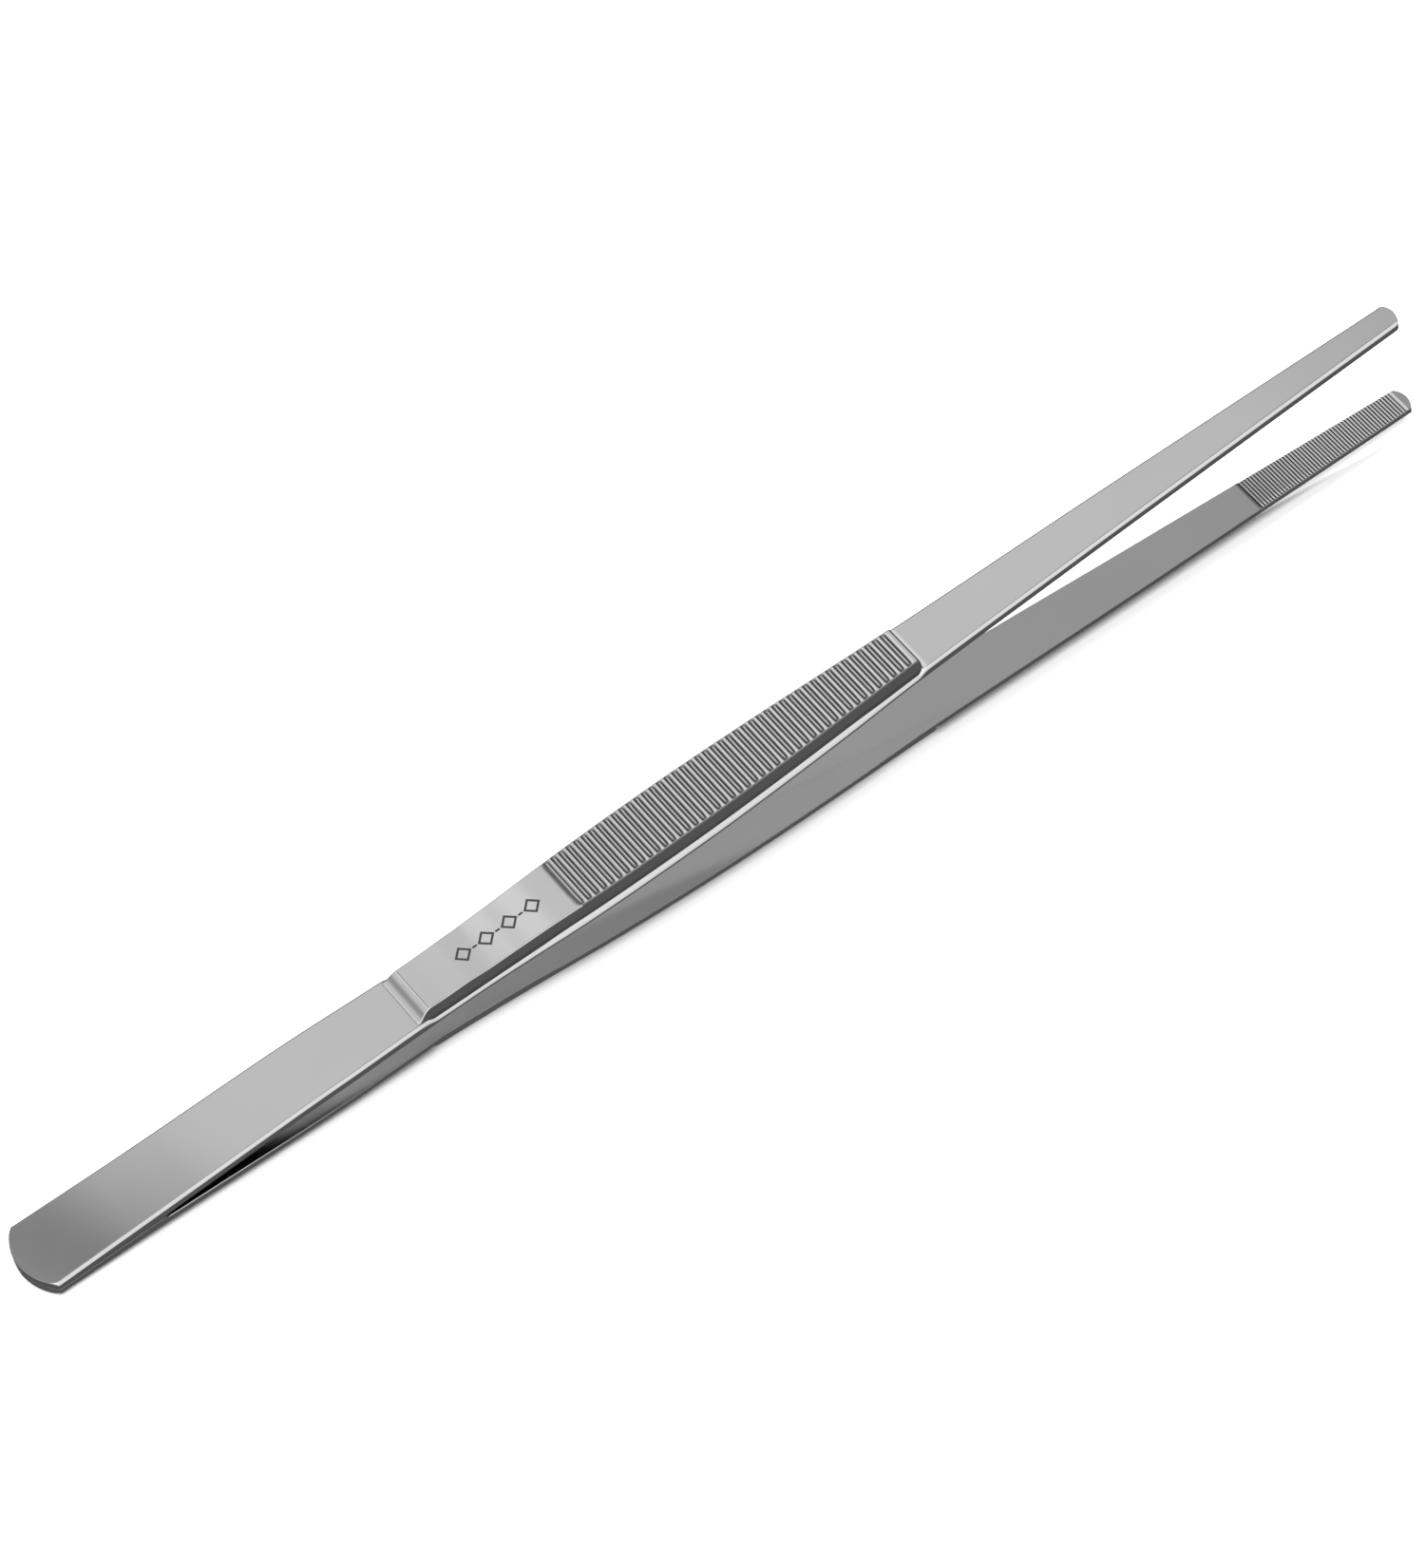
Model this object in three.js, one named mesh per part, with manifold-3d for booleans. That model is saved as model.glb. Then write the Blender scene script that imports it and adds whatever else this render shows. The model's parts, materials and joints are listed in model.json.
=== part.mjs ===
// Print tongs: two sprung stainless arms brazed together at the butt, in millimetres, +Z up.
// Everything is drawn in the tongs' own frame first: X runs from the butt to the tips, Y across
// the arms and Z away from the plane midway between them. The lower arm is the upper one mirrored,
// and the finished pair is laid down on the lower grip plate.

import * as THREE from 'three';
import Module from 'manifold-3d';
import { mergeVertices } from 'three/addons/utils/BufferGeometryUtils.js';

const wasm = await Module();
wasm.setup();

// ---------------------------------------------------------------------------------------------
// Driving dimensions
// ---------------------------------------------------------------------------------------------

const LENGTH = 300;
const GAP = 0.3;              // clearance left between neighbouring solids

const CROTCH = 26.4;          // where the brazed butt ends and the two springs part
const HINGE = 53;             // middle of the spring's bend
const BRAZE_THICKNESS = 0.4;

const BLADE_THICKNESS = 1.7;  // spring and shank
const BED_THICKNESS = 1.15;   // the blade under the grip plate
const EDGE_CHAMFER = 0.65;
const BED_CHAMFER = 1.0;      // the ledge left beside the grip plate
const INNER_CHAMFER = 0.12;

const PLATE_START = 80.5;     // grip plate: foot of its front ramp
const PLATE_RAMP = 2;
const PLATE_END = 191;
const PLATE_HEIGHT = 3.5;     // from the blade's inner face to the top of the plate
const PLATE_INSET = 1.3;      // from the blade's edge to the top of the plate
const PLATE_DRAFT = 15.5;     // lean of the plate's flanks, degrees
const PLATE_BREAK = 0.4;      // the broken edge at the plate's front end
const RIBS = { start: 116, pitch: 1.65, count: 45, groove: 1.1, floor: 0.5, depth: 0.45 };

const JAW_TEETH = { start: 264.5, pitch: 0.65, count: 52, groove: 0.6, floor: 0.1, depth: 0.2 };
const TIP_ARC_RADIUS = 4.2;   // the rounded end of the tip

const BUTT_ARC_RADIUS = 11.5; // the rounded end of the butt
const BUTT_SIDE_START = 3;    // where the arc meets the sides

const REST_SLOPE = 0.047;     // slope of the grip plate's face against the middle plane
const REST_HEIGHT = 1.52;     // height of that face's line at the butt end

// Heights of the grip face, and of the blade's inner face below it.
const gripFace = (x) => REST_HEIGHT + REST_SLOPE * x;
const gripInner = (x) => gripFace(x) - PLATE_HEIGHT;

// Corners of the blade's inner face as (x, height above the middle plane). From the shoulder on it
// runs parallel to the grip face.
const SHOULDER = 88;
const BUTT_INNER = BRAZE_THICKNESS / 2 + GAP;
const TIP_INNER = 11.4;
const INNER_CORNERS = [
  [0, BUTT_INNER],
  [CROTCH, BUTT_INNER],
  [58, 1.85],
  [SHOULDER, gripInner(SHOULDER)],
  [235, gripInner(235)],
  [272, 10.45],
  [LENGTH, TIP_INNER],
];

// Half widths of the blade, seen from above, as (x, half width).
const HALF_WIDTHS = [
  [BUTT_SIDE_START, 8.1],
  [28, 7.6],
  [64, 7.15],
  [84, 6.7],
  [104, 7.05],
  [122, 7.65],
  [142, 7.75],
  [160, 7.3],
  [191, 5.95],
  [226, 4.95],
  [264, 3.85],
  [LENGTH, 2.8],
];

// The blade swells a little to either side of the ribs, from one x to the next and back again.
const SWELL = { height: 0.25, places: [100, 114, 172, 190] };

const BUTT_EDGE = 1.45;       // half the butt's thickness at its very end
const BRAZE_INSET = 0.1;      // how far the braze stops short of the butt's edges

const STATION = 6;            // spacing of the sections along the blade
const BEND_REACH = 6;         // how far each bend of the blade spreads to either side
const OUTLINE_STEPS = 60;     // points of the smooth outline
const ARC_STEPS = 16;         // points of each rounded end
const OVERSHOOT = 1;          // how far the cutting shapes run past the solids they cut

// ---------------------------------------------------------------------------------------------
// Curves along the blade
// ---------------------------------------------------------------------------------------------

const point = (x, y) => new THREE.Vector2(x, y);

// A polyline with its inner corners rounded, as a list of points.
function roundedLine(corners, reach, divisions = 4) {
  const path = new THREE.Path();
  const points = corners.map(([x, y]) => point(x, y));
  path.moveTo(points[0].x, points[0].y);
  for (let i = 1; i < points.length - 1; i += 1) {
    const into = points[i].clone().sub(points[i - 1]).normalize().multiplyScalar(reach);
    const out = points[i + 1].clone().sub(points[i]).normalize().multiplyScalar(reach);
    const from = points[i].clone().sub(into);
    const to = points[i].clone().add(out);
    path.lineTo(from.x, from.y);
    path.quadraticCurveTo(points[i].x, points[i].y, to.x, to.y);
  }
  const last = points[points.length - 1];
  path.lineTo(last.x, last.y);
  return path.getPoints(divisions);
}

// Reads a list of points, ordered in x, as a function of x.
function heightAlong(points) {
  return (x) => {
    const after = Math.max(1, points.findIndex((p) => p.x >= x));
    const a = points[after - 1];
    const b = points[after];
    return THREE.MathUtils.mapLinear(x, a.x, b.x, a.y, b.y);
  };
}

const innerLine = roundedLine(INNER_CORNERS, BEND_REACH);
const innerFace = heightAlong([
  point(-OVERSHOOT, BUTT_INNER),
  ...innerLine,
  point(LENGTH + OVERSHOOT, TIP_INNER),
]);

const widthCurve = new THREE.SplineCurve(HALF_WIDTHS.map(([x, y]) => point(x, y)));
const sideLine = heightAlong([
  point(-OVERSHOOT, HALF_WIDTHS[0][1]),
  ...widthCurve.getPoints(OUTLINE_STEPS),
  point(LENGTH + OVERSHOOT, HALF_WIDTHS[HALF_WIDTHS.length - 1][1]),
]);

function halfWidth(x) {
  const [rise, top, fall, end] = SWELL.places;
  const swell = THREE.MathUtils.smoothstep(x, rise, top) - THREE.MathUtils.smoothstep(x, fall, end);
  return sideLine(x) + SWELL.height * swell;
}

const plateEdge = (x) => sideLine(x) - PLATE_INSET;

// The blade's outer face: thin at the very butt, then one thickness all the way to the tip.
function outerFace(x) {
  const spring = innerFace(x) + BLADE_THICKNESS;
  const butt = THREE.MathUtils.mapLinear(x, 0, CROTCH, BUTT_EDGE, innerFace(CROTCH) + BLADE_THICKNESS);
  return x < CROTCH ? butt : spring;
}

// The face that the blade is stepped down to under the grip plate.
const bedFace = (x) => innerFace(x) + BED_THICKNESS;

// Section places from one x to another, ends included.
function stations(from, to) {
  const count = Math.max(1, Math.round((to - from) / STATION));
  return Array.from({ length: count + 1 }, (_, i) => from + ((to - from) * i) / count);
}

// ---------------------------------------------------------------------------------------------
// Solids
// ---------------------------------------------------------------------------------------------

function toManifold(geometry) {
  const bare = geometry.clone();
  bare.deleteAttribute('normal');
  bare.deleteAttribute('uv');
  const merged = mergeVertices(bare, 1e-5);
  return new wasm.Manifold(new wasm.Mesh({
    numProp: 3,
    vertProperties: new Float32Array(merged.attributes.position.array),
    triVerts: new Uint32Array(merged.index.array),
  }));
}

function toGeometry(solid) {
  const mesh = solid.getMesh();
  const geometry = new THREE.BufferGeometry();
  geometry.setAttribute('position', new THREE.BufferAttribute(mesh.vertProperties, 3));
  geometry.setIndex(new THREE.BufferAttribute(mesh.triVerts, 1));
  const flat = geometry.toNonIndexed();
  flat.computeVertexNormals();
  return flat;
}

// Extrudes an outline of (x, s) points, where s is measured along a direction that leans from +Y
// towards +Z by the given angle. 0 is an outline seen from above, 90 is one seen from the side.
const PRISM_DEPTH = 80;
function prism(outline, leanDegrees) {
  const lean = THREE.MathUtils.degToRad(leanDegrees);
  const shape = new THREE.Shape(outline);
  const geometry = new THREE.ExtrudeGeometry(shape, { depth: PRISM_DEPTH, bevelEnabled: false });
  geometry.translate(0, 0, -PRISM_DEPTH / 2);
  geometry.applyMatrix4(new THREE.Matrix4().makeBasis(
    new THREE.Vector3(1, 0, 0),
    new THREE.Vector3(0, Math.cos(lean), Math.sin(lean)),
    new THREE.Vector3(0, -Math.sin(lean), Math.cos(lean)),
  ));
  return toManifold(geometry);
}

// A band between two lines, both functions of x, leaning as in prism().
function band(from, to, low, high, leanDegrees) {
  const places = stations(from, to);
  const bottom = places.map((x) => point(x, low(x)));
  const top = places.map((x) => point(x, high(x))).reverse();
  return prism([...bottom, ...top], leanDegrees);
}

// Everything between two places along the blade.
function slice(from, to) {
  return band(from, to, () => -PRISM_DEPTH, () => PRISM_DEPTH, 0);
}

// Trims a solid along both of its long edges. The cut leans by the given angle and passes through
// (edge(x), height(x)) on the +Y side, and through its mirror image on the other.
function bevelEdges(solid, from, to, edge, height, leanDegrees) {
  const lean = THREE.MathUtils.degToRad(leanDegrees);
  const reach = (x) => edge(x) * Math.cos(lean) + height(x) * Math.sin(lean);
  const far = () => -PRISM_DEPTH;
  const farSide = band(from, to, far, reach, leanDegrees);
  const nearSide = farSide.mirror([0, 1, 0]);
  return solid.intersect(farSide).intersect(nearSide);
}

// The blade between two places, with its plan outline and its four chamfered edges.
function bladeBody(from, to, sideOutline, outer) {
  const start = from - OVERSHOOT;
  const end = to + OVERSHOOT;
  const plan = band(start, end, (x) => -halfWidth(x), halfWidth, 0);
  const solid = prism(sideOutline, 90).intersect(plan);
  const outerEdge = (x) => halfWidth(x) - EDGE_CHAMFER;
  const innerEdge = (x) => halfWidth(x) - INNER_CHAMFER;
  const topped = bevelEdges(solid, start, end, outerEdge, outer, 45);
  return bevelEdges(topped, start, end, innerEdge, innerFace, -45);
}

// Grooves cut into a face, as outline points in order of x. Each has two sloping walls and a flat
// floor. The sign says which way is deeper.
function grooved(face, cut, sign) {
  const points = [];
  for (let i = 0; i < cut.count; i += 1) {
    const x = cut.start + i * cut.pitch;
    const wall = (cut.groove - cut.floor) / 2;
    const floorStart = x + wall;
    const floorEnd = x + cut.groove - wall;
    points.push(point(x, face(x)));
    points.push(point(floorStart, face(floorStart) + sign * cut.depth));
    points.push(point(floorEnd, face(floorEnd) + sign * cut.depth));
    points.push(point(x + cut.groove, face(x + cut.groove)));
  }
  return points;
}

// ---------------------------------------------------------------------------------------------
// Sub-parts of one arm
// ---------------------------------------------------------------------------------------------

// Outline of the butt seen from above: a wide arc that meets the straight sides.
function buttOutline(end, inset) {
  const halfAngle = Math.asin((HALF_WIDTHS[0][1] - inset) / BUTT_ARC_RADIUS);
  const side = halfWidth(end) - inset;
  const centre = BUTT_ARC_RADIUS + inset;
  const outline = new THREE.Path();
  outline.moveTo(end, -side);
  outline.lineTo(end, side);
  outline.absarc(centre, 0, BUTT_ARC_RADIUS, Math.PI - halfAngle, Math.PI + halfAngle, false);
  return outline.getPoints(ARC_STEPS);
}

// The root: butt plate and the half of the spring that is fixed to it.
function rootSolid() {
  const end = HINGE - GAP / 2;
  const places = stations(0, end);
  const under = places.map((x) => point(x, innerFace(x)));
  const over = places.map((x) => point(x, outerFace(x))).reverse();
  const body = bladeBody(0, end, [...under, ...over], outerFace);
  return body.intersect(prism(buttOutline(end + OVERSHOOT, 0), 0));
}

// The moving blade: free half of the spring, bed under the grip plate, shank and toothed jaw.
function bladeSolid() {
  const start = HINGE + GAP / 2;
  const bedStart = PLATE_START - GAP;
  const bedEnd = PLATE_END + GAP;
  const jawStart = JAW_TEETH.start;
  const jawEnd = JAW_TEETH.start + JAW_TEETH.pitch * JAW_TEETH.count;
  const line = (from, to, face) => stations(from, to).map((x) => point(x, face(x)));
  const under = [
    ...line(start, jawStart, innerFace).slice(0, -1),
    ...grooved(innerFace, JAW_TEETH, 1),
    ...line(jawEnd, LENGTH, innerFace),
  ];
  const over = [
    ...line(start, bedStart, outerFace),
    ...line(bedStart, bedEnd, bedFace),
    ...line(bedEnd, LENGTH, outerFace),
  ].reverse();
  const body = bladeBody(start, LENGTH, [...under, ...over], outerFace);
  const bedEdge = (x) => halfWidth(x) - BED_CHAMFER;
  const bed = bevelEdges(body, bedStart, bedEnd, bedEdge, bedFace, 45);
  const beforeBed = body.intersect(slice(start - OVERSHOOT, bedStart));
  const afterBed = body.intersect(slice(bedEnd, LENGTH + OVERSHOOT));
  return beforeBed.add(bed).add(afterBed).intersect(prism(tipOutline(), 0));
}

// Outline that rounds the tip, seen from above: an arc centred on the blade's middle line.
function tipOutline() {
  const outline = new THREE.Path();
  outline.moveTo(0, -PRISM_DEPTH);
  outline.lineTo(LENGTH - TIP_ARC_RADIUS, -PRISM_DEPTH);
  outline.absarc(LENGTH - TIP_ARC_RADIUS, 0, TIP_ARC_RADIUS, -Math.PI / 2, Math.PI / 2, false);
  outline.lineTo(LENGTH - TIP_ARC_RADIUS, PRISM_DEPTH);
  outline.lineTo(0, PRISM_DEPTH);
  return outline.getPoints(ARC_STEPS);
}

// The raised grip plate on the blade's outer face: plain behind, ribbed in front.
function gripPlateSolid() {
  const foot = (x) => innerFace(x) + BED_THICKNESS + GAP;
  const rampTop = PLATE_START + PLATE_RAMP;
  const rampFoot = point(PLATE_START, outerFace(PLATE_START));
  const front = PLATE_END - PLATE_BREAK;
  const under = stations(PLATE_START, PLATE_END).map((x) => point(x, foot(x)));
  const over = [
    rampFoot,
    point(rampTop, gripFace(rampTop)),
    ...grooved(gripFace, RIBS, -1),
    point(front, gripFace(front)),
    point(PLATE_END, gripFace(PLATE_END) - PLATE_BREAK),
  ].reverse();
  const solid = prism([...under, ...over], 90);
  const start = PLATE_START - OVERSHOOT;
  const end = PLATE_END + OVERSHOOT;
  return bevelEdges(solid, start, end, plateEdge, gripFace, PLATE_DRAFT);
}

// The film of braze that joins the two butts.
function brazeSolid() {
  const half = BRAZE_THICKNESS / 2;
  const slab = band(-OVERSHOOT, CROTCH - GAP, () => -half, () => half, 90);
  return slab.intersect(prism(buttOutline(CROTCH, BRAZE_INSET), 0));
}

// ---------------------------------------------------------------------------------------------
// Assembly
// ---------------------------------------------------------------------------------------------

const bladeSteel = new THREE.MeshStandardMaterial({ color: 0xc4c5c6, roughness: 0.28, metalness: 1 });
const plateSteel = new THREE.MeshStandardMaterial({ color: 0xcbcccd, roughness: 0.3, metalness: 1 });
const brazeMetal = new THREE.MeshStandardMaterial({ color: 0x8f8e8a, roughness: 0.4, metalness: 1 });

function part(name, solid, material) {
  const mesh = new THREE.Mesh(toGeometry(solid), material);
  mesh.name = name;
  return mesh;
}

// One arm's pieces; the lower arm is the upper one mirrored in the middle plane.
function arm(side) {
  const place = (solid) => (side === 'lower' ? solid.mirror([0, 0, 1]) : solid);
  return [
    part(`${side}_root`, place(rootSolid()), bladeSteel),
    part(`${side}_blade`, place(bladeSolid()), bladeSteel),
    part(`${side}_grip_plate`, place(gripPlateSolid()), plateSteel),
  ];
}

const tongs = new THREE.Group();
tongs.add(part('butt_braze', brazeSolid(), brazeMetal));
tongs.add(...arm('upper'));
tongs.add(...arm('lower'));
tongs.rotation.y = -Math.atan(REST_SLOPE);

// Laid on the lower grip plate, with the origin at the bottom centre of the bounding box.
const printTongs = new THREE.Group();
printTongs.add(tongs);
printTongs.updateMatrixWorld(true);
const bounds = new THREE.Box3().setFromObject(printTongs, true);
const centre = bounds.getCenter(new THREE.Vector3());
tongs.position.set(-centre.x, 0, -bounds.min.z);

export default printTongs;
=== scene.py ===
import json
import math

import bmesh
import bpy
from mathutils import Matrix, Vector


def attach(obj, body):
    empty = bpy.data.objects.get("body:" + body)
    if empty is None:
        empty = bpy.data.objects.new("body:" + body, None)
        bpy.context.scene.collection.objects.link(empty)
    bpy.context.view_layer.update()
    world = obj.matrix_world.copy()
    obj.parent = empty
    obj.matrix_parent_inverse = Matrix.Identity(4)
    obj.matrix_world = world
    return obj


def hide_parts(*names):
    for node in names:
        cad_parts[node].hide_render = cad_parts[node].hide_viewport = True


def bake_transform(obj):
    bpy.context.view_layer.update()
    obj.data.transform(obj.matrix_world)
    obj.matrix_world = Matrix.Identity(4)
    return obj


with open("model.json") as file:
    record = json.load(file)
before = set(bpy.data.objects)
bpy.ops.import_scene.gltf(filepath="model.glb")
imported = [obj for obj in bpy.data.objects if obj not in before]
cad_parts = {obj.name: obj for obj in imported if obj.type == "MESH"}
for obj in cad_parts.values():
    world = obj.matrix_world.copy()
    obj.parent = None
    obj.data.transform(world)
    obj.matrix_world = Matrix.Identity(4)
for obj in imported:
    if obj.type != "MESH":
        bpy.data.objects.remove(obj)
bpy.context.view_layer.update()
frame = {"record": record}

# ---------------------------------------------------------------------------------------------
# Dimensions, in millimetres, in the tongs' own frame: X from the butt to the tips, Y across the
# arms, Z away from the plane midway between them. They repeat the CAD's driving dimensions, with
# finer bevels, ribs and teeth.
# ---------------------------------------------------------------------------------------------

MM = 0.001
LENGTH = 300.0
HINGE = 53.0                  # middle of the spring's bend
SLOT_START = 25.6             # where the seam starts to part
CROTCH = 26.4                 # where the springs have parted
SPRING_START = 34.0           # beyond it the bends of the arm are wide
SHOULDER = 88.0               # from here to the shank the inner face is parallel to the grip face

BLADE_THICKNESS = 1.7         # spring and shank
BED_THICKNESS = 1.15          # the strip under the grip plate
EDGE_BEVEL = 0.65             # along the outer edges
BED_BEVEL = 1.0               # the ledge beside the grip plate
END_BEVEL = 0.15              # around the butt's and the tip's ends
INNER_BEVEL = 0.05            # along the inner edges
SLOT_BEVEL = 0.2              # along the inner edges where the springs part
SEAM_BEVEL = 0.03             # along the butt's seam
BEVEL_BULGE = 0.12            # how round the outer bevels are: 0 is flat
BUTT_EDGE = 1.45              # half the butt's thickness at its very end
BUTT_ARC_RADIUS = 11.5
TIP_ARC_RADIUS = 4.2
SEAM = 0.03                   # half the hairline left at the butt's seam
BRAZE_INSET = 0.03            # how far the braze stops short of the butt's edges

PLATE_START = 80.5
PLATE_RAMP = 2.0              # length of the sloping back end
PLATE_END = 191.0
PLATE_HEIGHT = 3.5            # from the strip's inner face to the top of the plate
PLATE_INSET = 1.3             # from the strip's edge to the top of the plate
PLATE_DRAFT = math.radians(15.5)
PLATE_EDGE = 0.2              # rounding along the plate's top edges
PLATE_BREAK = (0.4, 0.3)      # length and drop of the broken edge at the front end
PLATE_SINK = 0.25             # how far the plate is let into the bed
RAMP_SINK = 0.02              # how far the foot of the ramp is let into the spring
RIB_START, RIB_PITCH, RIB_COUNT, RIB_DEPTH = 116.0, 1.65, 45, 0.45
RIB_RIM = 0.3                 # plain rim left along the plate's edges
RIB_RUN_OUT = 0.6             # length over which a groove rises to the near rim
RIB_END_WALL = 0.15           # the same at the far rim

TOOTH_START, TOOTH_PITCH, TOOTH_COUNT, TOOTH_DEPTH = 264.5, 0.65, 52, 0.2
TOOTH_RIM = 0.15              # plain rim left along one edge of the jaw

REST_SLOPE = 0.047            # slope of the grip face against the middle plane
REST_HEIGHT = 1.52            # height of that face's line at the butt end

SLOT_REACH, BEND_REACH = 0.5, 6.0     # how far each bend of the arm spreads to either side
RAMP_REACH = 0.8                      # the same for the ends of the plate's ramp
WAVE_REACH = 1.0                      # and for the hollows of its plain part

# Shape of one groove and one ridge as (share of the pitch, share of the depth).
RIB_PROFILE = [
    (0.00, 0.03),
    (0.03, 0.12),
    (0.15, 0.84),
    (0.18, 0.93),
    (0.32, 0.96),
    (0.45, 1.00),
    (0.49, 0.88),
    (0.61, 0.18),
    (0.64, 0.10),
    (0.78, 0.05),
    (0.92, 0.00),
]
TOOTH_PROFILE = [
    (0.00, 0.00),
    (0.05, 0.06),
    (0.52, 0.94),
    (0.57, 1.00),
    (0.62, 0.94),
    (0.95, 0.06),
]


def lerp(a, b, t):
    return a + (b - a) * t


def smoothstep(low, high, x):
    t = min(1.0, max(0.0, (x - low) / (high - low)))
    return t * t * (3 - 2 * t)


def between_places(places, x):
    """Rises from 0 to 1 between the first two places and falls back between the last two."""
    rise, top, fall, end = places
    return smoothstep(rise, top, x) - smoothstep(fall, end, x)


def grip_face(x):
    return REST_HEIGHT + REST_SLOPE * x


def grip_inner(x):
    return grip_face(x) - PLATE_HEIGHT


# Corners of the arm's inner face as (x, height above the middle plane).
FREE_CORNERS = [
    (58, 1.85),
    (SHOULDER, grip_inner(SHOULDER)),
    (235, grip_inner(235)),
    (272, 10.45),
    (LENGTH, 11.4),
]
INNER_CORNERS = [(0, SEAM), (SLOT_START, SEAM), (26.0, 0.32), (28, 0.45)] + FREE_CORNERS

# The same for the line that is one full thickness below the outer face.
SPRING_CORNERS = [(0, BUTT_EDGE - BLADE_THICKNESS), (CROTCH, 0.5)] + FREE_CORNERS

# The arm seen from above, as (x, half width).
HALF_WIDTHS = [
    (3, 8.1),
    (28, 7.6),
    (64, 7.15),
    (84, 6.7),
    (104, 7.05),
    (122, 7.65),
    (142, 7.75),
    (160, 7.3),
    (191, 5.95),
    (226, 4.95),
    (264, 3.85),
    (LENGTH, 2.8),
]

# ---------------------------------------------------------------------------------------------
# Curves along the arm
# ---------------------------------------------------------------------------------------------


def linear(corners, x):
    """Straight lines between corners."""
    for (x0, y0), (x1, y1) in zip(corners, corners[1:]):
        if x <= x1:
            return lerp(y0, y1, (x - x0) / (x1 - x0))
    return corners[-1][1]


def softened(corners, x, reach=BEND_REACH):
    """Straight lines between corners, each corner rounded over the reach to either side of it."""
    value = linear(corners, x)
    for (x0, y0), (x1, y1), (x2, y2) in zip(corners, corners[1:], corners[2:]):
        turn = (y2 - y1) / (x2 - x1) - (y1 - y0) / (x1 - x0)
        value += turn * max(0.0, reach - abs(x - x1)) ** 2 / (4 * reach)
    return value


def catmull_rom(points, x):
    """A smooth curve through the points."""
    x = min(max(x, points[0][0]), points[-1][0])
    i = next(k for k in range(len(points) - 1) if x <= points[k + 1][0])
    before = points[max(i - 1, 0)]
    after = points[min(i + 2, len(points) - 1)]
    (x1, y1), (x2, y2) = points[i], points[i + 1]
    span = x2 - x1
    slope1 = (y2 - before[1]) / (x2 - before[0])
    slope2 = (after[1] - y1) / (after[0] - x1)
    t = (x - x1) / span
    return (
        (2 * t**3 - 3 * t**2 + 1) * y1
        + (t**3 - 2 * t**2 + t) * span * slope1
        + (-2 * t**3 + 3 * t**2) * y2
        + (t**3 - t**2) * span * slope2
    )


# Places along the arm for between_places().
SWELL, BESIDE_RIBS = 0.25, (100, 114, 172, 190)
WAIST, BESIDE_PLAIN = 0.12, (80, 86, 94, 104)
BED_PLACES = (80.5, 85, 189.5, 191.5)
BEVEL_PLACES = (2.0, 3.6, LENGTH - 1.6, LENGTH - 0.6)


def swell(x):
    """The strip is a little wider beside the ribs and a little narrower beside the plain part."""
    return SWELL * between_places(BESIDE_RIBS, x) - WAIST * between_places(BESIDE_PLAIN, x)


def row_places(profile, start, pitch, count):
    """Where a repeated profile needs its stations."""
    return [start + (i + share) * pitch for i in range(count) for share, _ in profile]


def row_depth(profile, start, pitch, count, depth, x):
    """Depth of a repeated profile at x."""
    if not start <= x < start + pitch * count:
        return 0.0
    share = (x - start) % pitch / pitch
    closed = profile + [(1.0, profile[0][1])]
    return depth * linear(closed, share)


def rib(x):
    return row_depth(RIB_PROFILE, RIB_START, RIB_PITCH, RIB_COUNT, RIB_DEPTH, x)


def tooth(x):
    return row_depth(TOOTH_PROFILE, TOOTH_START, TOOTH_PITCH, TOOTH_COUNT, TOOTH_DEPTH, x)


def inner_face(x):
    reach = SLOT_REACH if x < SPRING_START else BEND_REACH
    return softened(INNER_CORNERS, x, reach)


def spring_face(x):
    """Outer face of the strip at its full thickness."""
    return softened(SPRING_CORNERS, x) + BLADE_THICKNESS


def under_plate(x):
    """1 under the grip plate, 0 elsewhere."""
    return between_places(BED_PLACES, x)


def outer_face(x):
    """Outer face of the strip: thin at the very butt, and stepped down to a bed under the plate."""
    return spring_face(x) - (BLADE_THICKNESS - BED_THICKNESS) * under_plate(x)


def side_width(x):
    """Half width of the arm, without its rounded ends."""
    return catmull_rom(HALF_WIDTHS, x)


def arc_width(radius, from_end):
    inside = max(0.0, radius**2 - (radius - from_end) ** 2)
    return math.sqrt(inside)


def soft_minimum(a, b, reach):
    """The smaller of two values, rounded over where they cross."""
    h = max(0.0, reach - abs(a - b)) / reach
    return min(a, b) - h * h * reach / 4


def half_width(x):
    """Half width of the arm with the arcs of the butt and of the tip."""
    if x < BUTT_ARC_RADIUS:
        return min(side_width(x), arc_width(BUTT_ARC_RADIUS, x))
    if x > LENGTH - TIP_ARC_RADIUS:
        return soft_minimum(side_width(x), arc_width(TIP_ARC_RADIUS, LENGTH - x), 0.5)
    return side_width(x)


# ---------------------------------------------------------------------------------------------
# Placing the tongs' own frame in the row frame
# ---------------------------------------------------------------------------------------------


def placement():
    """The two hinges stand one above the other in the tongs' own frame, at x = HINGE."""
    joints = {j["name"]: Vector(j["pos_m"]) for j in frame["record"]["behaviour"]["joints"]}
    upper, lower = joints["upper_spring"], joints["lower_spring"]
    up = (upper - lower).normalized()
    along = Vector((0, 1, 0)).cross(up)
    turn = Matrix((along, (0, 1, 0), up)).transposed().to_4x4()
    return Matrix.Translation((upper + lower) / 2) @ turn @ Matrix.Translation((-HINGE * MM, 0, 0))


OWN_TO_ROW = placement()


def own(x, y, z, side=1):
    """A point of the row frame from millimetres in the own frame. Side -1 is the lower arm."""
    return OWN_TO_ROW @ Vector((x * MM, y * MM, side * z * MM))


# ---------------------------------------------------------------------------------------------
# Meshes
# ---------------------------------------------------------------------------------------------

HOLD = 0.05                   # how close a flat face's last edge loop is to its bevel


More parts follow.
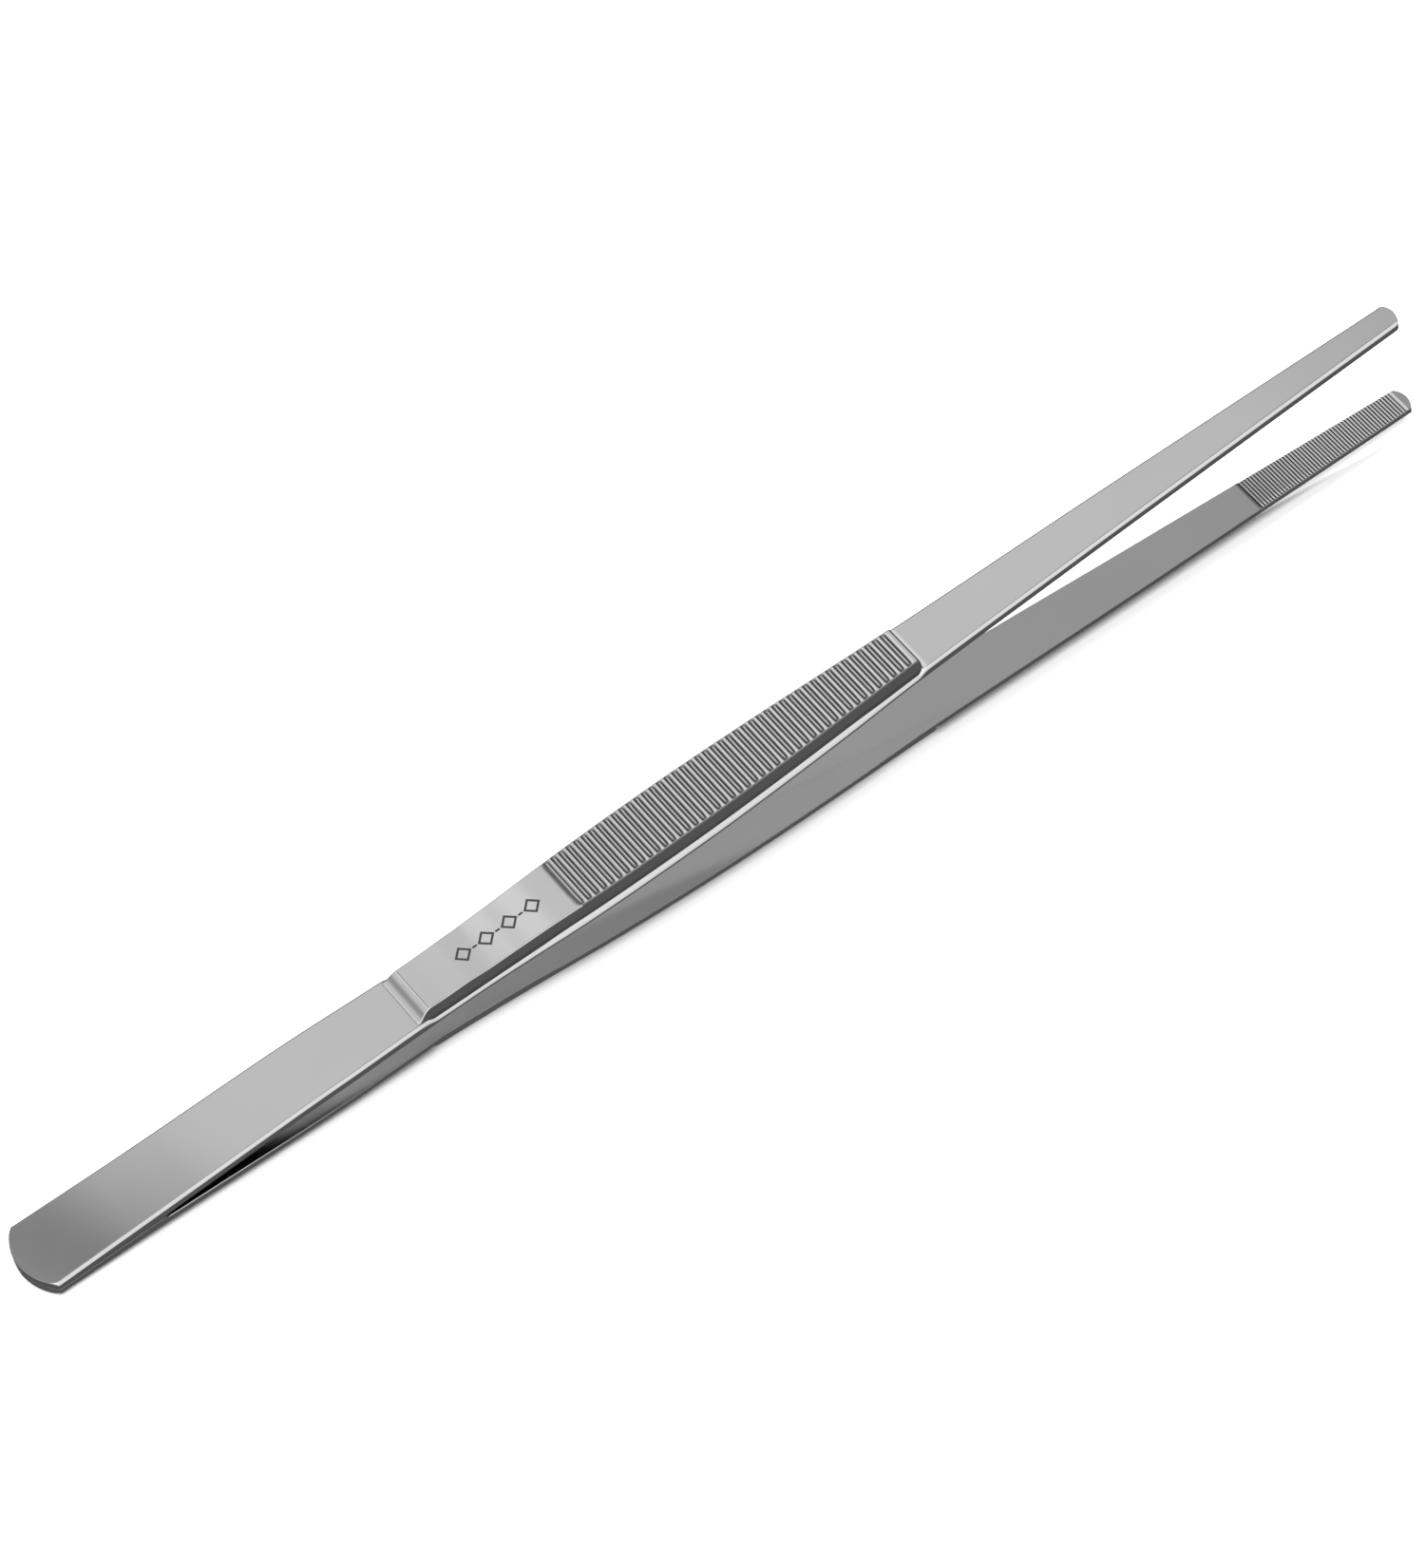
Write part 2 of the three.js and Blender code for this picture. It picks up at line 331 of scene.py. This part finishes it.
def mesh_object(name, verts, faces, material):
    mesh = bpy.data.meshes.new(name)
    mesh.from_pydata([tuple(v) for v in verts], [], faces)
    mesh.validate()
    build = bmesh.new()
    build.from_mesh(mesh)
    bmesh.ops.recalc_face_normals(build, faces=build.faces)
    build.to_mesh(mesh)
    build.free()
    mesh.shade_smooth()
    mesh.materials.append(material)
    piece = bpy.data.objects.new(name, mesh)
    bpy.context.scene.collection.objects.link(piece)
    return piece


def loft(name, sections, material):
    """Joins closed sections of equal length into one skin with flat ends."""
    count = len(sections[0])
    verts = [point for section in sections for point in section]
    faces = []
    for row in range(len(sections) - 1):
        for i in range(count):
            j = (i + 1) % count
            a, b = row * count, (row + 1) * count
            faces.append((a + i, a + j, b + j, b + i))
    faces.append(tuple(range(count)))
    last = (len(sections) - 1) * count
    faces.append(tuple(last + i for i in reversed(range(count))))
    return mesh_object(name, verts, faces, material)


def rounded_corner(start, sharp, end, steps, bulge=0.5):
    """Points of a curve from start to end, pulled towards the sharp corner between them."""
    middle = [lerp((a + b) / 2, c, bulge) for a, b, c in zip(start, end, sharp)]
    points = []
    for i in range(steps + 1):
        t = i / steps
        points.append(tuple(
            (1 - t) ** 2 * a + 2 * t * (1 - t) * m + t**2 * b for a, m, b in zip(start, middle, end)
        ))
    return points


def spread(start, end, step):
    count = max(1, round(abs(end - start) / step))
    return [lerp(start, end, i / count) for i in range(count + 1)]


# ---------------------------------------------------------------------------------------------
# Arm: one strip from the butt to the tip
# ---------------------------------------------------------------------------------------------

ACROSS_INNER = [0.0, 0.35, 0.7]    # loops across the inner face, as shares of its width
ACROSS_OUTER = [0.95, 0.7, 0.35, 0.0]


def strip_half(width, inner, outer, inner_bevel, outer_bevel, depth, fades):
    """Half of the strip's section from its inner middle to its outer middle, as (y, z) points.

    The inner face is cut to the given depth. If the cut fades, a plain rim is left along the edge.
    """
    inner_edge = width - inner_bevel
    outer_edge = width - outer_bevel
    full = inner + depth
    points = [(inner_edge * share, full) for share in ACROSS_INNER]
    points.append((inner_edge - TOOTH_RIM - HOLD, full))
    kept = inner if fades else full
    points.append((inner_edge - HOLD, kept))
    bevel_foot = min(kept + inner_bevel, lerp(inner, outer, 0.5))
    points += rounded_corner((inner_edge, kept), (width, kept), (width, bevel_foot), 3)
    points.append((width, bevel_foot + HOLD))
    points.append((width, outer - outer_bevel - HOLD))
    bevel_start, bevel_end = (width, outer - outer_bevel), (outer_edge, outer)
    points += rounded_corner(bevel_start, (width, outer), bevel_end, 5, BEVEL_BULGE)
    points.append((outer_edge - HOLD, outer))
    points += [((outer_edge - HOLD) * share, outer) for share in ACROSS_OUTER]
    return points


def bevels(x, width):
    """Sizes of the strip's inner and outer bevels, small where the strip is narrow."""
    most = width * 0.4
    outer = min(lerp(END_BEVEL, EDGE_BEVEL, between_places(BEVEL_PLACES, x)), most)
    outer = lerp(outer, BED_BEVEL, under_plate(x))
    inner = lerp(SEAM_BEVEL, SLOT_BEVEL, smoothstep(SLOT_START, CROTCH, x))
    inner = lerp(inner, INNER_BEVEL, smoothstep(SPRING_START, 70, x))
    return min(inner, most), outer


def strip_section(x, side):
    width = max(half_width(x) + swell(x), 0.05)
    inner, outer = inner_face(x), outer_face(x)
    inner_bevel, outer_bevel = bevels(x, width)
    depth = tooth(x)
    far = strip_half(width, inner, outer, inner_bevel, outer_bevel, depth, False)
    near = strip_half(width, inner, outer, inner_bevel, outer_bevel, depth, True)
    section = far + [(-y, z) for y, z in reversed(near[1:-1])]
    return [own(x, y, z, side) for y, z in section]


def arc_places(radius, from_angle, to_angle):
    """Distances from the end of a rounded end, for angles in degrees from its middle."""
    return [radius * (1 - math.cos(math.radians(angle))) for angle in spread(from_angle, to_angle, 2)]


def strip_stations():
    """Close together where the outline or a face turns fast, wider elsewhere."""
    fine_start, fine_end = SLOT_START - 0.4, SLOT_START + 5.4
    places = arc_places(BUTT_ARC_RADIUS, 1, 45)
    places += spread(places[-1], fine_start, 0.7)[1:]
    places += spread(fine_start, fine_end, 0.1)[1:]
    places += spread(fine_end, TOOTH_START, 0.8)[1:-1]
    places += row_places(TOOTH_PROFILE, TOOTH_START, TOOTH_PITCH, TOOTH_COUNT)
    tip_arc = [LENGTH - from_end for from_end in arc_places(TIP_ARC_RADIUS, 48, 2)]
    return [x for x in places if x < tip_arc[0]] + tip_arc


def darken(piece, material, start, end, chosen):
    """Gives the chosen faces between two places along the arm another, darker material: painted shade."""
    piece.data.materials.append(material)
    low, high = own(start, 0, 0).x, own(end, 0, 0).x
    for face in piece.data.polygons:
        if low < face.center.x < high and chosen(face.normal):
            face.material_index = 1


def make_strip(name, side, material, painted_shade_material):
    strip = loft(name, [strip_section(x, side) for x in strip_stations()], material)
    jaw_end = TOOTH_START + TOOTH_PITCH * TOOTH_COUNT
    # The tooth flanks facing the tips get the dark steel: painted shade.
    darken(strip, painted_shade_material, TOOTH_START, jaw_end, lambda normal: normal.x > 0.3)
    return strip


# ---------------------------------------------------------------------------------------------
# Grip plate
# ---------------------------------------------------------------------------------------------

RAMP_TOP = PLATE_START + PLATE_RAMP

# The ramp as (x, share of its height).
RAMP_CORNERS = [(0, 0), (PLATE_START + 0.7, 0), (RAMP_TOP + 0.8, 1), (LENGTH, 1)]

# Shallow grinding hollows of the plate's plain part, as (x, height).
PAD_WAVES = [
    (0, 0),
    (RAMP_TOP + 2.5, 0),
    (86.5, -0.09),
    (88, -0.09),
    (92.5, -0.02),
    (96, -0.2),
    (98, -0.2),
    (102, -0.12),
    (105, -0.1),
    (110.5, 0),
    (LENGTH, 0),
]


def plate_top(x):
    """The plate's outer face: a steep ramp, a plain part, the ribs' crests, and a broken front edge."""
    ramp_share = softened(RAMP_CORNERS, x, RAMP_REACH)
    waves = softened(PAD_WAVES, x, WAVE_REACH) * ramp_share
    length, drop = PLATE_BREAK
    front_break = drop * smoothstep(PLATE_END - length, PLATE_END, x) ** 2
    return lerp(spring_face(x) - RAMP_SINK, grip_face(x), ramp_share) + waves - front_break


def plate_side(width, top, foot):
    """One side of the plate's section from its foot to its top edge, as (y, z) points with y > 0."""

    def flank(z):
        return width + (top - z) * math.tan(PLATE_DRAFT)

    below_edge = top - PLATE_EDGE
    middle = lerp(foot, top, 0.5)
    points = [(flank(z), z) for z in (foot, middle, below_edge - HOLD)]
    points += rounded_corner((flank(below_edge), below_edge), (width, top), (width - PLATE_EDGE, top), 3)
    points.append((width - PLATE_EDGE - HOLD, top))
    return points


def plate_section(x, side):
    top = plate_top(x)
    foot = softened(SPRING_CORNERS, x) + BED_THICKNESS - PLATE_SINK
    width = side_width(x) - PLATE_INSET + (grip_face(x) - top) * math.tan(PLATE_DRAFT)
    depth = rib(x)
    edge = plate_side(width, top, foot)
    groove_end = width - RIB_RIM
    floor_end = groove_end - RIB_RUN_OUT
    across = [(groove_end, top), (groove_end - RIB_END_WALL, top - depth)]
    across += [(floor_end * share, top - depth) for share in (0.9, 0.5, 0.0, -0.5, -1.0)]
    across.append((-groove_end, top))
    section = [(0, foot)] + edge + across + [(-y, z) for y, z in reversed(edge)]
    return [own(x, y, z, side) for y, z in section]


def plate_stations():
    places = spread(PLATE_START - 1.1, RAMP_TOP + 4, 0.15)
    places += spread(RAMP_TOP + 4, RIB_START, 0.8)[1:-1]
    places += row_places(RIB_PROFILE, RIB_START, RIB_PITCH, RIB_COUNT)
    return places + spread(RIB_START + RIB_PITCH * RIB_COUNT, PLATE_END, 0.1)


def make_plate(name, side, material, painted_shade_material):
    plate = loft(name, [plate_section(x, side) for x in plate_stations()], material)
    ribs_end = RIB_START + RIB_PITCH * RIB_COUNT

    def is_wall(normal):
        return abs(normal.x) > 0.5 or abs(normal.y) > 0.4 and side * normal.z > 0.3

    # The groove walls get the dark steel: painted shade.
    darken(plate, painted_shade_material, RIB_START, ribs_end, is_wall)
    return plate


def make_braze(material):
    """The film of braze that fills the butt's seam. It stops a hair inside the edges."""
    places = [BRAZE_INSET + x for x in arc_places(BUTT_ARC_RADIUS, 2, 45)]
    places += spread(places[-1], SLOT_START, 1.0)[1:]
    overlap = 0.01
    sections = []
    for x in places:
        width = max(half_width(x - BRAZE_INSET) - BRAZE_INSET, 0.02)
        height = inner_face(x) + overlap
        right = [(width, -height), (width, 0), (width, height)]
        ring = right + [(-y, z) for y, z in reversed(right)]
        sections.append([own(x, y, z) for y, z in ring])
    return loft("butt_braze_seam", sections, material)


# ---------------------------------------------------------------------------------------------
# Etched mark on the plain part of the upper grip plate: lozenges joined by dashes
# ---------------------------------------------------------------------------------------------

MARK_START, MARK_PITCH, MARK_COUNT = 94.7, 4.95, 4
MARK_LONG, MARK_HIGH, MARK_STROKE = 1.5, 1.55, 0.2     # half length, half height, half stroke
MARK_GAP = 0.5                                         # between a lozenge and a dash
MARK_LIFT = 0.012                                      # above the plate


def stroke(points, half):
    """A closed band around a closed line of (x, y) points: pairs of outer and inner points."""
    return [((x * (1 + half), y * (1 + half)), (x * (1 - half), y * (1 - half))) for x, y in points]


def subdivide(points, steps):
    """Splits each side of a closed line."""
    result = []
    for (x0, y0), (x1, y1) in zip(points, points[1:] + points[:1]):
        result += [(lerp(x0, x1, i / steps), lerp(y0, y1, i / steps)) for i in range(steps)]
    return result


def make_mark(material):
    verts, faces = [], []

    def quad(corners):
        start = len(verts)
        verts.extend(own(x, y, plate_top(x) + MARK_LIFT) for x, y in corners)
        faces.append(tuple(range(start, start + 4)))

    for i in range(MARK_COUNT):
        centre = MARK_START + i * MARK_PITCH
        corners = [(MARK_LONG, 0), (0, MARK_HIGH), (-MARK_LONG, 0), (0, -MARK_HIGH)]
        band = stroke(subdivide(corners, 6), MARK_STROKE)
        for (outer0, inner0), (outer1, inner1) in zip(band, band[1:] + band[:1]):
            quad([(centre + x, y) for x, y in (outer0, outer1, inner1, inner0)])
        if i < MARK_COUNT - 1:
            left = centre + MARK_LONG + MARK_GAP
            right = centre + MARK_PITCH - MARK_LONG - MARK_GAP
            quad([(left, -MARK_STROKE), (right, -MARK_STROKE), (right, MARK_STROKE), (left, MARK_STROKE)])
    return mesh_object("upper_grip_mark", verts, faces, material)


# ---------------------------------------------------------------------------------------------
# Materials
# ---------------------------------------------------------------------------------------------


def new_material(name):
    material = bpy.data.materials.new(name)
    material.use_nodes = True
    nodes, links = material.node_tree.nodes, material.node_tree.links
    return material, nodes, links, nodes["Principled BSDF"]


def ramp(nodes, stops):
    """A colour ramp of greys from (position, tone) stops."""
    node = nodes.new("ShaderNodeValToRGB")
    elements = node.color_ramp.elements
    elements[0].position, elements[1].position = stops[0][0], stops[-1][0]
    for position, _ in stops[1:-1]:
        elements.new(position)
    for element, (_, tone) in zip(elements, stops):
        element.color = (tone, tone, tone, 1)
    return node


def steel(name, tone, roughness, grain):
    """Polished stainless steel: fine grain along the arm, soft roughness changes, faint smudges."""
    material, nodes, links, shader = new_material(name)
    shader.inputs["Metallic"].default_value = 1.0
    where = nodes.new("ShaderNodeTexCoord")
    stretch = nodes.new("ShaderNodeMapping")
    stretch.inputs["Scale"].default_value = (80, 3000, 3000)
    links.new(where.outputs["Object"], stretch.inputs["Vector"])
    lines = nodes.new("ShaderNodeTexNoise")
    lines.inputs["Scale"].default_value = 1.0
    lines.inputs["Detail"].default_value = 3.0
    links.new(stretch.outputs["Vector"], lines.inputs["Vector"])
    bump = nodes.new("ShaderNodeBump")
    bump.inputs["Strength"].default_value = grain
    bump.inputs["Distance"].default_value = 0.00001
    links.new(lines.outputs["Fac"], bump.inputs["Height"])
    links.new(bump.outputs["Normal"], shader.inputs["Normal"])
    smudge = nodes.new("ShaderNodeTexNoise")
    smudge.inputs["Scale"].default_value = 60.0
    smudge.inputs["Detail"].default_value = 4.0
    links.new(where.outputs["Object"], smudge.inputs["Vector"])
    rough = nodes.new("ShaderNodeMapRange")
    rough.inputs["To Min"].default_value = roughness * 0.85
    rough.inputs["To Max"].default_value = roughness * 1.15
    links.new(smudge.outputs["Fac"], rough.inputs["Value"])
    links.new(rough.outputs["Result"], shader.inputs["Roughness"])
    colour = ramp(nodes, [(0.3, tone * 0.985), (0.7, tone * 1.015)])
    links.new(smudge.outputs["Fac"], colour.inputs["Fac"])
    links.new(colour.outputs["Color"], shader.inputs["Base Color"])
    return material


def etched(name):
    """Dark matt etching."""
    material, nodes, links, shader = new_material(name)
    shader.inputs["Metallic"].default_value = 0.2
    shader.inputs["Roughness"].default_value = 0.7
    speckle = nodes.new("ShaderNodeTexNoise")
    speckle.inputs["Scale"].default_value = 9000.0
    tone = ramp(nodes, [(0.35, 0.02), (0.65, 0.05)])
    links.new(speckle.outputs["Fac"], tone.inputs["Fac"])
    links.new(tone.outputs["Color"], shader.inputs["Base Color"])
    return material


def pale_floor(name):
    material, nodes, links, shader = new_material(name)
    shader.inputs["Roughness"].default_value = 0.9
    shader.inputs["Specular IOR Level"].default_value = 0.0
    paper = nodes.new("ShaderNodeTexNoise")
    paper.inputs["Scale"].default_value = 3.0
    tone = ramp(nodes, [(0.3, 0.93), (0.7, 0.95)])
    links.new(paper.outputs["Fac"], tone.inputs["Fac"])
    links.new(tone.outputs["Color"], shader.inputs["Base Color"])
    return material


def glowing(name, stops):
    """A card whose own light changes along its X, as (share of its width, tone) stops."""
    material, nodes, links, shader = new_material(name)
    shader.inputs["Base Color"].default_value = (0, 0, 0, 1)
    shader.inputs["Specular IOR Level"].default_value = 0.0
    where = nodes.new("ShaderNodeTexCoord")
    split = nodes.new("ShaderNodeSeparateXYZ")
    tone = ramp(nodes, stops)
    links.new(where.outputs["Generated"], split.inputs["Vector"])
    links.new(split.outputs["X"], tone.inputs["Fac"])
    links.new(tone.outputs["Color"], shader.inputs["Emission Color"])
    shader.inputs["Emission Strength"].default_value = 1.0
    return material


# ---------------------------------------------------------------------------------------------
# Pieces
# ---------------------------------------------------------------------------------------------

blade_steel = steel("blade_steel_polished", 0.9, 0.1, 0.2)
plate_steel = steel("grip_steel_polished", 0.9, 0.1, 0.2)
# Dark steel that paints shade on the walls of the grip plate's grooves.
groove_wall_shade_steel = steel("groove_wall_painted_shade", 0.3, 0.3, 0.5)
# Dark steel that paints shade on the flank of each tooth that faces the tips.
tooth_flank_shade_steel = steel("tooth_flank_painted_shade", 0.1, 0.3, 0.5)
braze_metal = steel("braze_dull", 0.35, 0.4, 0.5)


def make_arm(name, side):
    body = f"{name}_arm"
    strip = make_strip(f"{name}_strip", side, blade_steel, tooth_flank_shade_steel)
    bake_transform(strip)
    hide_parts(f"{name}_root", f"{name}_blade")
    plate = make_plate(f"{name}_grip_ribs", side, plate_steel, groove_wall_shade_steel)
    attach(plate, body)
    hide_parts(f"{name}_grip_plate")


make_arm("upper", 1)
make_arm("lower", -1)
seam = make_braze(braze_metal)
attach(seam, "butt")
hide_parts("butt_braze")
mark = make_mark(etched("etched_dark"))
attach(mark, "upper_arm")

# ---------------------------------------------------------------------------------------------
# Stage, light and camera
# ---------------------------------------------------------------------------------------------


def make_floor():
    bpy.ops.mesh.primitive_plane_add(size=6)
    floor = bpy.context.object
    floor.name = "floor"
    floor.data.materials.append(pale_floor("pale_floor"))
    floor.visible_glossy = False


FLAG_SIZE = (0.098, 0.4)
FLAG_AT = (-0.1134, 0.2838, 0.3)
FLAG_TURN = math.radians(18.5)
FLAG_TONES = [(0.23, 0.2), (0.44, 0.56)]


def make_flag():
    """A card held close over the butt, dim on its left. Only the steel sees it."""
    bpy.ops.mesh.primitive_plane_add(size=1)
    flag = bpy.context.object
    flag.name = "flag"
    flag.scale = (*FLAG_SIZE, 1)
    flag.rotation_euler = (0, 0, FLAG_TURN)
    flag.location = FLAG_AT
    flag.data.materials.append(glowing("flag", FLAG_TONES))
    flag.visible_camera = False
    flag.visible_diffuse = False
    flag.visible_shadow = False


def area_light(name, at, look_at, size, energy):
    light = bpy.data.lights.new(name, "AREA")
    light.shape = "RECTANGLE"
    light.size, light.size_y = size
    light.energy = energy
    lamp = bpy.data.objects.new(name, light)
    lamp.location = at
    lamp.rotation_euler = (Vector(look_at) - Vector(at)).to_track_quat("-Z", "Y").to_euler()
    lamp.visible_glossy = False
    bpy.context.scene.collection.objects.link(lamp)


SUN_SIDE = Vector((0.8, 0.67, 0.287))


def make_sun():
    """A low light from behind the tips, for the long faint shadow."""
    light = bpy.data.lights.new("sun", "SUN")
    light.energy = 7
    light.angle = math.radians(2)
    lamp = bpy.data.objects.new("sun", light)
    lamp.rotation_euler = SUN_SIDE.to_track_quat("Z", "Y").to_euler()
    lamp.visible_glossy = False
    bpy.context.scene.collection.objects.link(lamp)


def maths(nodes, links, operation, a, b):
    node = nodes.new("ShaderNodeMath")
    node.operation = operation
    for socket, value in zip(node.inputs, (a, b)):
        if isinstance(value, float):
            socket.default_value = value
        else:
            links.new(value, socket)
    return node.outputs["Value"]


def ranged(nodes, links, value, low, high):
    """0 below low, 1 above high, smooth between."""
    node = nodes.new("ShaderNodeMapRange")
    node.interpolation_type = "SMOOTHSTEP"
    node.inputs["From Min"].default_value = low
    node.inputs["From Max"].default_value = high
    links.new(value, node.inputs["Value"])
    return node.outputs["Result"]


# Brightness of the tent against the cosine of the angle from its bright side.
TENT_SIDE = (-0.8, 0.35, 0.48)
TENT_TONES = [
    (0.1, 0.12),
    (0.24, 0.31),
    (0.375, 0.33),
    (0.41, 0.545),
    (0.525, 0.56),
    (0.545, 0.77),
    (0.8, 0.7),
    (0.88, 0.56),
]


FRONT_TONE = 0.7              # of the softbox in front
TABLE_TONE = 0.09             # of the dark table
FAR_TABLE_TONE = 0.27         # added by its far right part


def make_world():
    """A bright tent to the left, a softbox in front and a dark table below, as the steel sees them."""
    world = bpy.data.worlds.new("tent")
    bpy.context.scene.world = world
    world.use_nodes = True
    nodes, links = world.node_tree.nodes, world.node_tree.links
    where = nodes.new("ShaderNodeTexCoord")
    direction = where.outputs["Generated"]
    split = nodes.new("ShaderNodeSeparateXYZ")
    links.new(direction, split.inputs["Vector"])
    x, y, z = split.outputs["X"], split.outputs["Y"], split.outputs["Z"]

    towards = nodes.new("ShaderNodeVectorMath")
    towards.operation = "DOT_PRODUCT"
    towards.inputs[1].default_value = TENT_SIDE
    links.new(direction, towards.inputs[0])
    tent = ramp(nodes, TENT_TONES)
    links.new(towards.outputs["Value"], tent.inputs["Fac"])

    def between(value, low, high):
        return ranged(nodes, links, value, low, high)

    def times(a, b):
        return maths(nodes, links, "MULTIPLY", a, b)

    front = times(between(y, -0.35, -0.6), between(z, 0.2, 0.45))
    above = maths(nodes, links, "ADD", tent.outputs["Color"], times(front, FRONT_TONE))
    far_below = times(times(between(x, 0.0, 0.15), between(y, 0.1, 0.4)), between(z, -0.45, -0.7))
    below = maths(nodes, links, "ADD", times(far_below, FAR_TABLE_TONE), TABLE_TONE)

    horizon = between(z, 0.1, 0.6)
    mix = nodes.new("ShaderNodeMix")
    links.new(horizon, mix.inputs["Factor"])
    links.new(below, mix.inputs["A"])
    links.new(above, mix.inputs["B"])
    links.new(mix.outputs["Result"], nodes["Background"].inputs["Color"])
    nodes["Background"].inputs["Strength"].default_value = 1.0


SENSOR = 36.0                 # millimetres along the image's long side
LENS = 207.3
CAMERA_DISTANCE = 1.587
CAMERA_AZIMUTH = math.radians(-25.83)
CAMERA_ELEVATION = math.radians(51.44)
CAMERA_ROLL = math.radians(11.12)
CAMERA_AIM = Vector((-0.00158, 0.0009, 0.0144))


def make_camera():
    camera = bpy.data.cameras.new("camera")
    camera.sensor_width = SENSOR
    camera.lens = LENS
    camera.clip_start, camera.clip_end = 0.05, 20
    forward = Vector((
        -math.sin(CAMERA_AZIMUTH) * math.cos(CAMERA_ELEVATION),
        math.cos(CAMERA_AZIMUTH) * math.cos(CAMERA_ELEVATION),
        -math.sin(CAMERA_ELEVATION),
    ))
    holder = bpy.data.objects.new("camera", camera)
    aim = forward.to_track_quat("-Z", "Y").to_matrix().to_4x4()
    roll = Matrix.Rotation(-CAMERA_ROLL, 4, "Z")
    holder.matrix_world = Matrix.Translation(CAMERA_AIM - forward * CAMERA_DISTANCE) @ aim @ roll
    bpy.context.scene.collection.objects.link(holder)
    bpy.context.scene.camera = holder


make_floor()
make_flag()
make_world()
area_light("overhead", (0, 0, 2.5), (0, 0, 0), (3, 3), 110)
make_sun()
make_camera()
bpy.context.scene.view_settings.view_transform = "Standard"
